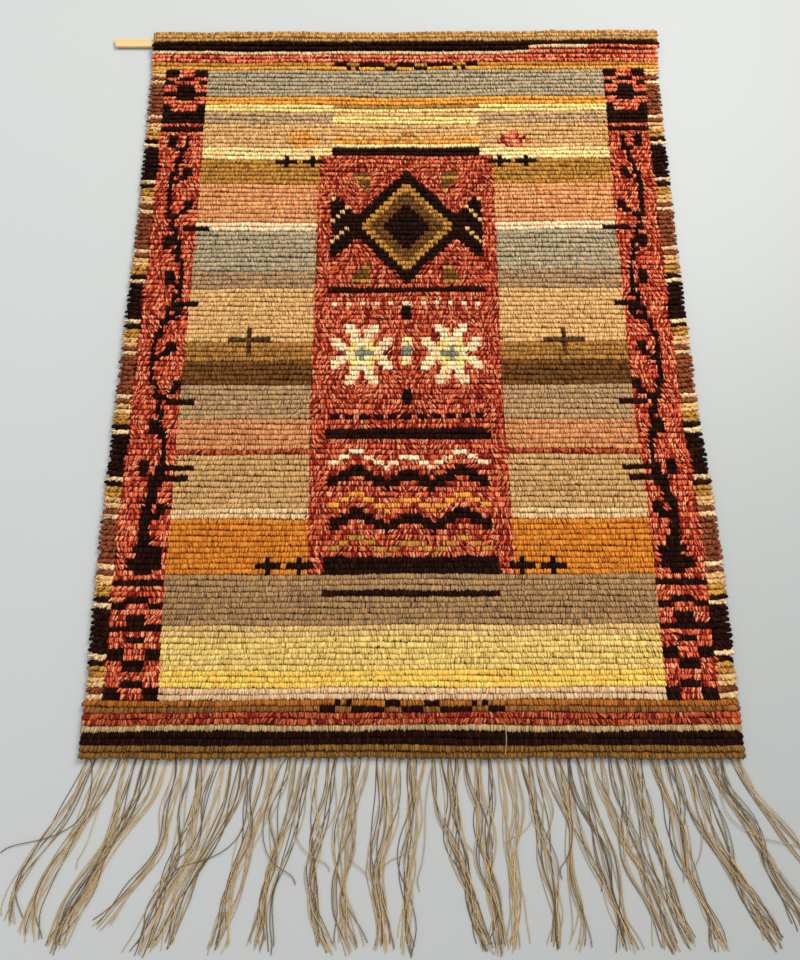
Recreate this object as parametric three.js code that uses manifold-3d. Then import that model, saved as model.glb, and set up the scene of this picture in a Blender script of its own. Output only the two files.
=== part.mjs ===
// Rya rug with a hanging slat: a knotted pile slab with 150 knot rows, a linen fringe and a pine slat.
// Millimetres. +Y runs to the slat end, +X to the right, the floor is z = 0, the rug's centre is x = y = 0.
import * as THREE from 'three';
import { mergeVertices } from 'three/addons/utils/BufferGeometryUtils.js';
import Module from 'manifold-3d';

const wasm = await Module();
wasm.setup();

// Rug slab
const RUG_LENGTH = 1830;
const ROWS = 150;
const ROW_PITCH = RUG_LENGTH / ROWS;
const CREST_SHIFT = 7.5;
const CREST_HEIGHT = 16;
const VALLEY_HEIGHT = 12;
const LUMP_HEIGHT = 1.2;
const SIDE_SHOULDER = 20;
const SIDE_LIP = 4.5;
const LOCK_OUT = 5;
const LOCK_VARIES = 9;
const FOOT_INSET = 5;
const TOP_LOCKS = 61;
const TOP_LOCK_OUT = 6;
const TOP_LOCK_VARIES = 7;
const TOP_LIP = 6;
const END_LIP = 7;
// Sleeve for the slat under the top rows
const SLAT_EDGE_GAP = 6;
const SLAT_WIDTH = 26;
const SLAT_THICK = 6;
const SLAT_OVERHANG = 108;
const SLAT_RIGHT_INSET = 12;
const SLAT_CHAMFER = 1;
const SLAT_END_SKEW = 6;
const SLEEVE_FLOOR = 2.5;
const PART_GAP = 0.3;
const SLEEVE_RISE = 6;
const SLEEVE_FADE = 26;
// Fringe
const STRIP_DEPTH = 3;
const STRIP_HEIGHT = 2.4;
const STRAND_WIDTH = 1.5;
const STRAND_HEIGHT = 1.3;
const STRANDS = 164;
const STRAND_STEPS = 6;
const FRINGE_DEPTH = 345;

// Across the slab: stations of the top face as shares of the half width.
const STATIONS = [-0.84, -0.62, -0.36, -0.12, 0.12, 0.36, 0.62, 0.84];

// Side edges of the rug, top to bottom.
const SIDE_EDGES = [
  { y: 915, left: -683, right: 679 },
  { y: 810, left: -680, right: 671 },
  { y: 600, left: -680, right: 667 },
  { y: 300, left: -679, right: 666 },
  { y: 0, left: -684, right: 668 },
  { y: -200, left: -686, right: 670 },
  { y: -350, left: -688, right: 680 },
  { y: -500, left: -689, right: 684 },
  { y: -700, left: -686, right: 682 },
  { y: -915, left: -682, right: 681 },
];

// Gathered bundles of the fringe, left to right: how many strands, where the bundle's middle is at a third
// of its drop, at two thirds and at its end, how far apart its strands lie there, and its share of the drop.
const BUNDLES = [
  { strands: 4, upper: -735, lower: -792, end: -778, step: 3.4, drop: 0.84 },
  { strands: 6, upper: -690, lower: -752, end: -742, step: 3.4, drop: 0.91 },
  { strands: 12, upper: -600, lower: -672, end: -700, step: 3.4, drop: 0.96 },
  { strands: 4, upper: -488, lower: -536, end: -617, step: 3.6, drop: 0.86 },
  { strands: 8, upper: -458, lower: -492, end: -530, step: 3.4, drop: 0.98 },
  { strands: 8, upper: -406, lower: -448, end: -486, step: 3.4, drop: 0.97 },
  { strands: 8, upper: -332, lower: -362, end: -384, step: 3.8, drop: 0.98 },
  { strands: 8, upper: -282, lower: -284, end: -303, step: 3.4, drop: 0.97 },
  { strands: 6, upper: -204, lower: -214, end: -166, step: 3.2, drop: 0.98 },
  { strands: 8, upper: -142, lower: -152, end: -126, step: 3.2, drop: 0.97 },
  { strands: 7, upper: -76, lower: -66, end: -60, step: 3.4, drop: 0.98 },
  { strands: 7, upper: -14, lower: -22, end: -22, step: 3.4, drop: 0.98 },
  { strands: 8, upper: 80, lower: 104, end: 141, step: 3, drop: 0.98 },
  { strands: 8, upper: 146, lower: 152, end: 169, step: 3, drop: 0.98 },
  { strands: 6, upper: 216, lower: 204, end: 194, step: 3, drop: 0.97 },
  { strands: 6, upper: 272, lower: 282, end: 276, step: 3.6, drop: 0.97 },
  { strands: 4, upper: 324, lower: 334, end: 319, step: 3.6, drop: 0.97 },
  { strands: 8, upper: 372, lower: 404, end: 416, step: 3.6, drop: 0.98 },
  { strands: 8, upper: 428, lower: 466, end: 503, step: 3.4, drop: 0.98 },
  { strands: 6, upper: 474, lower: 500, end: 534, step: 3.4, drop: 0.96 },
  { strands: 6, upper: 542, lower: 567, end: 598, step: 3.4, drop: 0.98 },
  { strands: 8, upper: 612, lower: 664, end: 706, step: 3.6, drop: 0.96 },
  { strands: 6, upper: 676, lower: 728, end: 762, step: 3.8, drop: 0.9 },
  { strands: 4, upper: 748, lower: 796, end: 800, step: 3.8, drop: 0.78 },
];

function chance(a, b) {
  const s = Math.sin(a * 127.1 + b * 311.7 + 17.3) * 43758.5453;
  return s - Math.floor(s);
}

function edgeAt(y, side) {
  for (let k = 0; k + 1 < SIDE_EDGES.length; k++) {
    const upper = SIDE_EDGES[k], lower = SIDE_EDGES[k + 1];
    if (y >= lower.y) {
      const share = Math.min(1, (upper.y - y) / (upper.y - lower.y));
      return upper[side] + (lower[side] - upper[side]) * share;
    }
  }
  return SIDE_EDGES[SIDE_EDGES.length - 1][side];
}

function lump(x, y) {
  return LUMP_HEIGHT * (Math.sin(x / 61 + y / 143) * 0.5 + Math.sin(x / 37 - y / 88 + 2) * 0.3
    + Math.sin(x / 151 + y / 52 + 4) * 0.4);
}

// The slab rises over the slat's sleeve and falls away on both sides of it.
function sleeveRise(y) {
  const below = RUG_LENGTH / 2 - SLAT_EDGE_GAP - SLAT_WIDTH;
  const share = Math.min(1, Math.max(0, (y - below + SLEEVE_FADE) / SLEEVE_FADE));
  return SLEEVE_RISE * share * share * (3 - 2 * share);
}

// Points and faces of one closed body.
class Body {
  constructor() {
    this.points = [];
    this.faces = [];
  }
  point(x, y, z) {
    this.points.push(x, y, z);
    return this.points.length / 3 - 1;
  }
  x(p) {
    return this.points[p * 3];
  }
  // Fills between two chains that both run from low x to high x.
  bridge(near, far, flip) {
    let a = 0, b = 0;
    while (a < near.length - 1 || b < far.length - 1) {
      const nearNext = a < near.length - 1 ? this.x(near[a + 1]) : Infinity;
      const farNext = b < far.length - 1 ? this.x(far[b + 1]) : Infinity;
      const face = nearNext < farNext ? [near[a], near[++a], far[b]] : [near[a], far[b + 1], far[b++]];
      this.faces.push(...(flip ? [face[0], face[2], face[1]] : face));
    }
  }
  geometry() {
    const geometry = new THREE.BufferGeometry();
    geometry.setAttribute('position', new THREE.Float32BufferAttribute(this.points, 3));
    geometry.setIndex(this.faces);
    return geometry;
  }
}

function solidOf(geometry) {
  geometry.deleteAttribute('normal');
  geometry.deleteAttribute('uv');
  const merged = mergeVertices(geometry, 1e-4);
  return new wasm.Manifold(new wasm.Mesh({
    numProp: 3,
    vertProperties: new Float32Array(merged.attributes.position.array),
    triVerts: new Uint32Array(merged.index.array),
  }));
}

function geometryOf(solid) {
  const data = solid.getMesh();
  const geometry = new THREE.BufferGeometry();
  geometry.setAttribute('position', new THREE.BufferAttribute(new Float32Array(data.vertProperties), 3));
  geometry.setIndex(new THREE.BufferAttribute(new Uint32Array(data.triVerts), 1));
  return geometry;
}

function block(x0, x1, y0, y1, z0, z1) {
  const box = new THREE.BoxGeometry(x1 - x0, y1 - y0, z1 - z0);
  box.translate((x0 + x1) / 2, (y0 + y1) / 2, (z0 + z1) / 2);
  return box;
}

// The slab: a ribbed top with one rib for each knot row, lock tips around the rim and a flat foot.
function rugSlab() {
  const body = new Body();
  const lines = ROWS * 2 + 1;
  const top = [];
  const foot = [];
  for (let j = 0; j < lines; j++) {
    const row = Math.floor(j / 2);
    const crest = j % 2 === 1;
    const y = RUG_LENGTH / 2 - row * ROW_PITCH - (crest ? CREST_SHIFT : 0);
    const left = edgeAt(y, 'left');
    const right = edgeAt(y, 'right');
    const line = [];
    const outLeft = crest ? LOCK_OUT + LOCK_VARIES * chance(row, 1) : -3;
    const outRight = crest ? LOCK_OUT + LOCK_VARIES * chance(row, 2) : -3;
    const lip = crest ? SIDE_LIP : SIDE_LIP - 1.5;
    const rise = sleeveRise(y);
    const edgeLow = j === lines - 1 ? END_LIP - VALLEY_HEIGHT : 0;
    const tall = (crest ? CREST_HEIGHT : VALLEY_HEIGHT) + rise + edgeLow;
    line.push(body.point(left - outLeft, y, lip + rise * 0.9));
    line.push(body.point(left + SIDE_SHOULDER, y, tall - 1));
    for (const [k, share] of STATIONS.entries()) {
      const x = share * 680;
      const jog = crest ? (chance(row, k + 10) - 0.5) * 2 : (chance(row, k + 40) - 0.5) * 0.8;
      line.push(body.point(x, y, tall + lump(x, y) + jog));
    }
    line.push(body.point(right - SIDE_SHOULDER, y, tall - 1));
    line.push(body.point(right + outRight, y, lip + rise * 0.9));
    if (top.length) body.bridge(line, top[top.length - 1], false);
    top.push(line);
    const footY = j === 0 ? y - 4 : y;
    foot.push([body.point(left + FOOT_INSET, footY, 0), body.point(right - FOOT_INSET, footY, 0)]);
  }
  // Tips of the pile that falls over the top edge.
  const rim = [];
  const rimFoot = [];
  const yTop = RUG_LENGTH / 2;
  for (let k = 0; k <= TOP_LOCKS * 2; k++) {
    const share = k / (TOP_LOCKS * 2);
    const x = edgeAt(yTop, 'left') + 3 + (edgeAt(yTop, 'right') - edgeAt(yTop, 'left') - 6) * share;
    const tip = k % 2 === 1;
    const out = tip ? TOP_LOCK_OUT + TOP_LOCK_VARIES * chance(k, 5) : TOP_LOCK_OUT - 2;
    rim.push(body.point(x, yTop + out, tip ? TOP_LIP : TOP_LIP + 2));
    rimFoot.push(body.point(x, yTop - 1, 0));
  }
  body.bridge(top[0], rim, false);
  // Foot face.
  const endFoot = top[lines - 1].slice(1, -1).map((p) => body.point(body.x(p), -RUG_LENGTH / 2, 0));
  const last = [foot[lines - 1][0], ...endFoot, foot[lines - 1][1]];
  for (let j = 1; j < lines - 1; j++) body.bridge(foot[j], foot[j - 1], true);
  body.bridge(last, foot[lines - 2], true);
  body.bridge(foot[0], rimFoot, true);
  // Walls all round, from the rim of the top face down to the rim of the foot.
  const around = [];
  for (let j = 0; j < lines; j++) around.push([top[j][0], foot[j][0]]);
  for (let k = 1; k < last.length - 1; k++) around.push([top[lines - 1][k], last[k]]);
  for (let j = lines - 1; j >= 0; j--) around.push([top[j][top[j].length - 1], foot[j][1]]);
  for (let k = rim.length - 1; k >= 0; k--) around.push([rim[k], rimFoot[k]]);
  around.forEach(([upper, lower], k) => {
    const [nextUpper, nextLower] = around[(k + 1) % around.length];
    body.faces.push(upper, lower, nextUpper, nextUpper, lower, nextLower);
  });
  const sleeve = block(-760, 760, yTop - SLAT_EDGE_GAP - SLAT_WIDTH - PART_GAP, yTop - SLAT_EDGE_GAP + PART_GAP,
    SLEEVE_FLOOR, SLEEVE_FLOOR + SLAT_THICK + 2 * PART_GAP);
  return geometryOf(solidOf(body.geometry()).subtract(solidOf(sleeve)));
}

// One strand lies flat on the floor: a three-sided thread drawn along a smooth line through its stations.
function strand(stations, drop) {
  const body = new Body();
  const rings = [];
  for (let k = 0; k <= STRAND_STEPS; k++) {
    const t = k / STRAND_STEPS;
    const u = 1 - t;
    const weights = [u ** 4, 4 * u ** 3 * t, 6 * u * u * t * t, 4 * u * t ** 3, t ** 4];
    const x = weights.reduce((sum, weight, n) => sum + weight * stations[n], 0);
    const y = -RUG_LENGTH / 2 - PART_GAP - STRIP_DEPTH / 2 - t * drop;
    const half = STRAND_WIDTH / 2;
    rings.push([body.point(x - half, y, 0), body.point(x + half, y, 0), body.point(x, y, STRAND_HEIGHT)]);
  }
  for (let k = 0; k < STRAND_STEPS; k++) {
    for (let s = 0; s < 3; s++) {
      const n = (s + 1) % 3;
      const [a, b, c, d] = [rings[k][s], rings[k][n], rings[k + 1][n], rings[k + 1][s]];
      body.faces.push(a, b, c, a, c, d);
    }
  }
  const first = rings[0], final = rings[STRAND_STEPS];
  body.faces.push(first[0], first[2], first[1], final[0], final[1], final[2]);
  return body.geometry();
}

function fringe() {
  const y1 = -RUG_LENGTH / 2 - PART_GAP;
  const left = edgeAt(y1, 'left') + FOOT_INSET;
  const right = edgeAt(y1, 'right') - FOOT_INSET;
  const solids = [solidOf(block(left, right, y1 - STRIP_DEPTH, y1, 0, STRIP_HEIGHT))];
  let count = 0;
  for (const row of BUNDLES) {
    for (let k = 0; k < row.strands; k++) {
      const root = left + 4 + (right - left - 8) * (count / (STRANDS - 1));
      const place = (k - (row.strands - 1) / 2) * row.step;
      const stations = [root, root * 0.7 + (row.upper + place) * 0.3, row.upper + place * 1.3,
        row.lower + place, row.end + place];
      solids.push(solidOf(strand(stations, FRINGE_DEPTH * row.drop * (0.93 + 0.07 * chance(count, 3)))));
      count++;
    }
  }
  return geometryOf(wasm.Manifold.union(solids));
}

// The slat: a flat pine strip with eased edges, its left end cut a little off square.
function slat() {
  const x0 = edgeAt(RUG_LENGTH / 2, 'left') - SLAT_OVERHANG;
  const x1 = edgeAt(RUG_LENGTH / 2, 'right') - SLAT_RIGHT_INSET;
  const y0 = RUG_LENGTH / 2 - SLAT_EDGE_GAP - SLAT_WIDTH;
  const z0 = SLEEVE_FLOOR + PART_GAP;
  const c = SLAT_CHAMFER;
  const outline = (inset) => [
    [c + inset, inset], [SLAT_WIDTH - c - inset, inset],
    [SLAT_WIDTH - inset, c + inset], [SLAT_WIDTH - inset, SLAT_THICK - c - inset],
    [SLAT_WIDTH - c - inset, SLAT_THICK - inset], [c + inset, SLAT_THICK - inset],
    [inset, SLAT_THICK - c - inset], [inset, c + inset],
  ];
  const body = new Body();
  const ring = (x, inset, skew) => outline(inset).map(([v, w]) =>
    body.point(x + skew * (1 - v / SLAT_WIDTH), y0 + v, z0 + w));
  const rings = [ring(x0, 0.6, SLAT_END_SKEW), ring(x0 + 0.8, 0, SLAT_END_SKEW), ring(x1 - 0.8, 0, 0), ring(x1, 0.6, 0)];
  for (let k = 0; k + 1 < rings.length; k++) {
    for (let s = 0; s < 8; s++) {
      const n = (s + 1) % 8;
      const [a, b, d, e] = [rings[k][s], rings[k][n], rings[k + 1][n], rings[k + 1][s]];
      body.faces.push(a, b, d, a, d, e);
    }
  }
  for (let s = 1; s < 7; s++) {
    body.faces.push(rings[0][0], rings[0][s + 1], rings[0][s]);
    body.faces.push(rings[3][0], rings[3][s], rings[3][s + 1]);
  }
  return body.geometry();
}

function mesh(name, shape, color, roughness) {
  const geometry = shape.toNonIndexed();
  geometry.computeVertexNormals();
  const material = new THREE.MeshStandardMaterial({ color, roughness, metalness: 0 });
  material.name = `${name}_material`;
  const piece = new THREE.Mesh(geometry, material);
  piece.name = name;
  return piece;
}

const group = new THREE.Group();
group.name = 'rya_rug_with_slat';
group.add(mesh('rug_pile', rugSlab(), 0xb8744a, 0.95));
group.add(mesh('fringe', fringe(), 0xb09a70, 0.9));
group.add(mesh('slat', slat(), 0xe3c48c, 0.6));

export default group;
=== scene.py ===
import math

import bmesh
import bpy
import numpy as np
from mathutils import Matrix, Vector


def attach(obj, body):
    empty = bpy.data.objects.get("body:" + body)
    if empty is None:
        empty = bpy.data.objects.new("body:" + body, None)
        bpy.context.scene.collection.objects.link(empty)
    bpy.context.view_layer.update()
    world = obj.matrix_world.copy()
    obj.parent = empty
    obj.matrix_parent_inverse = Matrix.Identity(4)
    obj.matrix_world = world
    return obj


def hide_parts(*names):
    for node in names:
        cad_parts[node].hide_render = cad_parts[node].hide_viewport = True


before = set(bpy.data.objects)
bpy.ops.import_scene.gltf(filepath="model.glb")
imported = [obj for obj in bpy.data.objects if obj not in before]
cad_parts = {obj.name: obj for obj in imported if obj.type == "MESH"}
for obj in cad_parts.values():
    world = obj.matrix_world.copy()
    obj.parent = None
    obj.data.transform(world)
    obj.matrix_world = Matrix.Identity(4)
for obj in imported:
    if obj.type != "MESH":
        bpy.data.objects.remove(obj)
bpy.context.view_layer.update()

# Rya rug with a hanging slat. Metres: +Y runs to the slat end, +X to the right, the floor is z = 0.
LENGTH = 1.830
HALF = LENGTH / 2
ROWS = 150
COLUMNS = 122
ROW_PITCH = LENGTH / ROWS
# The woven ground's upper side, and how the sleeve at the slat end lifts it over the slat.
GROUND = 0.0026
SLEEVE_EDGE_GAP = 0.006
SLAT_WIDTH = 0.026
SLEEVE_RISE = 0.0065
SLEEVE_FADE = 0.026

# Side edges of the rug, top to bottom: y, left x, right x.
SIDE_EDGES = np.array([
    (0.915, -0.683, 0.679), (0.810, -0.680, 0.671), (0.600, -0.680, 0.667), (0.300, -0.679, 0.666),
    (0.000, -0.684, 0.668), (-0.200, -0.686, 0.670), (-0.350, -0.688, 0.680), (-0.500, -0.689, 0.684),
    (-0.700, -0.686, 0.682), (-0.915, -0.682, 0.681),
])

# Each wool is spun from a few yarns: colour in 8 bit steps and its share.
WOOLS = {
    "olive_tan": [((208, 157, 88), 6), ((170, 119, 62), 4)],
    "black": [((33, 12, 7), 7), ((52, 25, 14), 3)],
    "cream": [((255, 230, 186), 7), ((250, 205, 154), 3)],
    "red": [((240, 120, 80), 5), ((176, 54, 36), 3), ((255, 173, 125), 2)],
    "warm_cream": [((245, 210, 158), 6), ((223, 177, 121), 4)],
    "deep_orange": [((225, 142, 50), 7), ((203, 113, 39), 3)],
    "umber": [((106, 70, 36), 5), ((72, 46, 26), 5)],
    "deep_red": [((228, 105, 68), 4), ((155, 43, 29), 4), ((254, 166, 117), 2)],
    "panel_red": [((217, 99, 63), 4), ((148, 41, 27), 4), ((242, 156, 109), 2)],
    "olive": [((207, 149, 66), 6), ((169, 116, 51), 4)],
    "orange": [((243, 173, 71), 7), ((223, 141, 53), 3)],
    "grey_green": [((192, 170, 134), 6), ((163, 149, 121), 3), ((212, 175, 125), 1)],
    "yellow": [((254, 232, 154), 6), ((245, 208, 120), 4)],
    "taupe": [((217, 175, 124), 6), ((182, 149, 112), 4)],
    "deep_taupe": [((194, 153, 108), 6), ((162, 131, 98), 4)],
    "tan": [((235, 189, 123), 6), ((216, 164, 103), 4)],
    "deep_tan": [((216, 172, 112), 6), ((198, 149, 94), 4)],
    "pale_yellow": [((255, 229, 165), 6), ((248, 205, 133), 4)],
    "salmon": [((237, 174, 113), 6), ((221, 142, 88), 4)],
    "deep_salmon": [((223, 160, 104), 6), ((208, 131, 81), 4)],
    "olive_gold": [((193, 136, 66), 6), ((157, 109, 52), 4)],
    "dark_brown": [((128, 82, 38), 6), ((97, 61, 28), 4)],
    "taupe_grey": [((201, 158, 108), 6), ((172, 139, 100), 4)],
    "taupe_brown": [((186, 144, 94), 6), ((157, 123, 86), 4)],
    "light_tan": [((234, 197, 126), 6), ((217, 173, 106), 4)],
    "pale_green_yellow": [((246, 213, 127), 6), ((226, 189, 105), 4)],
    "bright_yellow": [((255, 213, 102), 7), ((255, 198, 90), 3)],
    "pink_cream": [((235, 201, 155), 6), ((221, 177, 132), 4)],
    "brown": [((151, 80, 47), 6), ((114, 57, 34), 4)],
    "blue_grey": [((149, 149, 128), 6), ((128, 126, 107), 4)],
    "end_orange": [((188, 115, 44), 6), ((153, 87, 29), 4)],
    "end_olive": [((153, 97, 50), 6), ((117, 75, 38), 4)],
    "end_red": [((190, 87, 51), 5), ((132, 38, 23), 4), ((211, 128, 84), 1)],
    "end_cream": [((202, 171, 121), 7), ((177, 140, 97), 3)],
    "end_olive_gold": [((149, 103, 48), 6), ((116, 80, 37), 4)],
}
NAMES = list(WOOLS)

# Bands from the slat end to the fringe end: wool and how many knot rows.
TOP_BANDS = [("olive_tan", 2), ("black", 2), ("warm_cream", 1), ("red", 2), ("olive", 1), ("orange", 1)]
FIELD_BANDS = [
    ("grey_green", 7), ("orange", 2), ("yellow", 2), ("taupe", 3), ("tan", 6), ("pale_yellow", 3),
    ("olive", 6), ("salmon", 9), ("cream", 2), ("grey_green", 9), ("deep_taupe", 4), ("tan", 12),
    ("olive_gold", 4), ("dark_brown", 5), ("taupe_grey", 7), ("deep_salmon", 6), ("end_red", 1),
    ("deep_tan", 10), ("warm_cream", 2), ("deep_orange", 10), ("taupe_brown", 9), ("light_tan", 2),
    ("pale_green_yellow", 6), ("bright_yellow", 3), ("pink_cream", 2),
]
END_BANDS = [("end_orange", 1), ("end_olive", 1), ("end_red", 2), ("end_cream", 1), ("black", 2),
             ("end_olive_gold", 2)]
# Outer blocks at both sides, repeated down the rug.
OUTER_BANDS = [
    ("brown", 8), ("warm_cream", 1), ("brown", 1), ("tan", 2), ("olive", 2), ("black", 1), ("warm_cream", 1),
    ("black", 8), ("warm_cream", 1), ("black", 1), ("olive", 2), ("tan", 2), ("brown", 1), ("warm_cream", 1),
]
OUTER_START = 13
# Where the field, the blocks, the borders and the panel begin and end, in knot rows and columns.
FIELD_TOP = 9
FIELD_END = 141
OUTER_COLUMNS = 4
BORDER_COLUMNS = 14
OUTER_SPANS = [(0, OUTER_COLUMNS), (COLUMNS - OUTER_COLUMNS, COLUMNS)]
BORDER_SPANS = [(OUTER_COLUMNS, BORDER_COLUMNS), (COLUMNS - BORDER_COLUMNS, COLUMNS - OUTER_COLUMNS)]
PANEL_COLUMNS = (41, 81)
PANEL_ROWS = (31, 119)
BAR_COLUMNS = (44, 78)
# The centre's pile is parted in head, panel and foot at these knot rows.
CENTRE_HEAD_END = 30
CENTRE_FOOT_START = 119
# Between these columns the second black row turns cream, and after them red.
BLACK_THINS = (90, 104)

# Letters of the knot charts.
INK = {"k": "black", "r": "deep_red", "o": "red", "p": "salmon", "c": "cream", "y": "yellow", "g": "olive",
       "t": "tan", "b": "dark_brown", "s": "blue_grey", "a": "orange", "u": "umber"}
BORDER_HEAD = [
    "kkkooookkk", "kkkooookkk", "oookkkkooo", "kkooooookk", "oookkkkooo", "oookkkkooo", "kkkkkkkkkk",
    "oookkkkooo", "oooooooooo", "kkooooookk", "kkooooookk", "kkkkkkkkkk", "kkkkkkkkkk", "kkkkkkkkkk",
    "rrrrrrrrrr", "kkkkkkkkkk",
]
BORDER_FOOT = [
    "rrrrrrrrrr", "kkkkkkkkkk", "rrrrrrrrrr", "rrrrrrrrrr", "rrrkkkkrrr", "kkkrrrrkkk", "rrrrrrrrrr",
    "rrrkkkkrrr", "rrrkkkkrrr", "kkkkkkkkkk", "rrrrrrrrrr", "rrrkkkkrrr", "rrrrrrrrrr", "kkkrrrrkkk",
    "kkkrrrrkkk", "rrrkkkkrrr", "rrrkkkkrrr", "rrrrrrrrrr", "rrrrrrrrrr", "rrrkkkkrrr", "kkkrrrrkkk",
    "kkkrrrrkkk",
]
STAR = [
    "...cc...cc...", "...ccc.ccc...", "....cc.cc....", "cc..ycccy..cc", "ccc.yycyy.ccc", ".ccyyysyyycc.",
    "...ccsssscc..", ".ccyyysyyycc.", "ccc.yycyy.ccc", "cc..ycccy..cc", "....cc.cc....", "...ccc.ccc...",
    "...cc...cc...",
]
CHAIN = ["...k.k......kkk....kkk......k.k...", "kkk...kkkkkk...kkkk...kkkkkk...kkk"]
PLUS = ["..k..", "kkkkk", "..k.."]
CROSS = ["....u", "....u", "uuuuuuuuu", "....u", "....u", "....b"]
DIAMOND = ["...oo...", ".oopooo.", "ooopoopo", "..oopo.."]
BOW = ["..ggg..", ".g...g.", "g.....g"]
SMALL_LOZENGE = [".y", "yc", "cs", "cs", "yc", ".y"]
KNOB = [".k", "kk", ".k"]
STEM_FOOT = [".kkkkkk.", "..kkkk..", "kkkkkkk", "kkkkkkk"]
DASH = ["kkkkkk"]

# Stripes over the panel: first knot row, the row after the last one, wool. Then the black bars' rows.
HEAD_STRIPES = [
    (18, 19, "olive_gold"), (19, 20, "yellow"), (20, 21, "tan"), (21, 23, "yellow"), (23, 26, "tan"),
    (27, 28, "orange"), (28, 29, "pale_yellow"),
]
BARS = [(29, 31), (62, 63), (92, 94), (116, 119), (122, 123)]
# Motifs: first knot row, first column, lines. One is mirrored onto the other side unless False follows.
MOTIFS = [
    (26, 44, ["ta" * 17], False), (25, 58, BOW, False), (7, 44, CHAIN[::-1], False), (141, 44, CHAIN, False),
    (31, 31, PLUS), (31, 37, PLUS), (116, 31, PLUS), (116, 37, PLUS), (48, 11, DASH), (65, 10, DASH),
    (86, 11, DASH), (99, 12, DASH), (101, 11, DASH), (114, 6, STEM_FOOT), (71, 23, CROSS),
    (25, 82, DIAMOND, False), (25, 33, [line.replace("o", "a") for line in DIAMOND], False),
    (70, 45, STAR), (73, 60, SMALL_LOZENGE), (66, 60, KNOB), (84, 60, KNOB),
    (65, 45, ["c..c..c..c..c..c"]), (89, 45, ["kk.kk.kk.kk.kk.kk"]),
]
# The panel's stepped lozenge: its rows, its middle row, half its height, rows for each column of its slope,
# and how far in its black line ends, its green ring ends and its black core starts.
LOZENGE_ROWS = (35, 61)
LOZENGE_MIDDLE = 47.5
LOZENGE_HALF = 13
LOZENGE_SLOPE = 0.95
LOZENGE_LINE = 3
LOZENGE_RING = 4.6
LOZENGE_CORE = 7.5
# Chevrons on the panel: first knot row, letter, how many rows thick. Then the columns that one takes.
CHEVRONS = [(96, "c", 1), (99, "k", 2), (104, "a", 1), (107, "k", 2), (112, "g", 1)]
CHEVRON_COLUMNS = 12
# The stem in each side border: its rows, its middle column, how far it swings to each side, the row where a
# swing starts, rows for each radian of its wave, where the wave dies out, the rows after which it is one knot
# thicker, and its twigs' first row, spacing and reach.
STEM_ROWS = (26, 119)
STEM_COLUMN = 9.4
STEM_SWING = 2.1
STEM_START = 49
STEM_WAVE = 5.9
STEM_STEADIES = (100, 113)
STEM_THICKENS = (98, 111)
TWIG_START = 29
TWIG_EVERY = 8
TWIG_REACH = 3


class Net:
    """A node tree, built one node at a time."""

    def __init__(self, tree):
        self.tree = tree
        self.tree.nodes.clear()

    def node(self, kind, settings=None, sockets=None, out=0):
        node = self.tree.nodes.new(kind)
        for key, value in (settings or {}).items():
            setattr(node, key, value)
        for key, value in (sockets or {}).items():
            if isinstance(value, Wire):
                self.tree.links.new(value.socket, node.inputs[key])
            else:
                node.inputs[key].default_value = value
        return Wire(self, node.outputs[out]) if len(node.outputs) else node


def sum_of(operation, reflected=False):
    def work(self, other):
        pair = (other, self) if reflected else (self, other)
        return self.net.math(operation, *pair)
    return work


class Wire:
    """One output of a node. Sums of wires and numbers add Math nodes."""

    def __init__(self, net, socket):
        self.net = net
        self.socket = socket

    __add__ = sum_of("ADD")
    __radd__ = sum_of("ADD", True)
    __sub__ = sum_of("SUBTRACT")
    __rsub__ = sum_of("SUBTRACT", True)
    __mul__ = sum_of("MULTIPLY")
    __rmul__ = sum_of("MULTIPLY", True)
    __pow__ = sum_of("POWER")

    def clip(self, low=0.0, high=1.0):
        return self.net.math("MINIMUM", self.net.math("MAXIMUM", self, low), high)

    def sine(self):
        return self.net.math("SINE", self)

    def size(self):
        return self.net.math("ABSOLUTE", self)

    def parts(self):
        node = self.net.node("ShaderNodeSeparateXYZ", None, {0: self}).socket.node
        return [Wire(self.net, socket) for socket in node.outputs]


class Finish(Net):
    """A surface material with one Principled shader."""

    def __init__(self, name):
        self.material = bpy.data.materials.new(name)
        self.material.use_nodes = True
        super().__init__(self.material.node_tree)

    def math(self, operation, *values):
        return self.node("ShaderNodeMath", {"operation": operation}, dict(enumerate(values)))

    def place(self):
        return self.node("ShaderNodeTexCoord", None, None, 3)

    def along(self, name):
        return self.node("ShaderNodeUVMap", {"uv_map": name})

    def colour_of(self, name):
        return self.node("ShaderNodeAttribute", {"attribute_name": name})

    def stretch(self, vector, scale):
        return self.node("ShaderNodeMapping", None, {"Vector": vector, "Scale": scale})

    def noise(self, vector, scale, detail, rough):
        return self.node("ShaderNodeTexNoise", None,
                         {"Vector": vector, "Scale": scale, "Detail": detail, "Roughness": rough})

    def mix(self, factor, a, b):
        return self.node("ShaderNodeMix", {"data_type": "RGBA", "clamp_factor": True},
                         {0: factor, 6: a, 7: b}, 2)

    def dim(self, colour, amount):
        """The colour times a number that varies over the surface."""
        return self.node("ShaderNodeVectorMath", {"operation": "SCALE"}, {0: colour, "Scale": amount})

    def bump(self, height, strength, distance):
        return self.node("ShaderNodeBump", None,
                         {"Height": height, "Strength": strength, "Distance": distance})

    def close(self, **sockets):
        shader = self.node("ShaderNodeBsdfPrincipled", None,
                           {key.replace("_", " "): value for key, value in sockets.items()})
        self.node("ShaderNodeOutputMaterial", None, {"Surface": shader})
        return self.material


def linear(colour):
    """8 bit colour steps as the linear values that the shaders use."""
    steps = np.asarray(colour, float) / 255
    return np.where(steps <= 0.04045, steps / 12.92, ((steps + 0.055) / 1.055) ** 2.4)


def rgba(colour):
    return (*linear(colour), 1.0)


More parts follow.
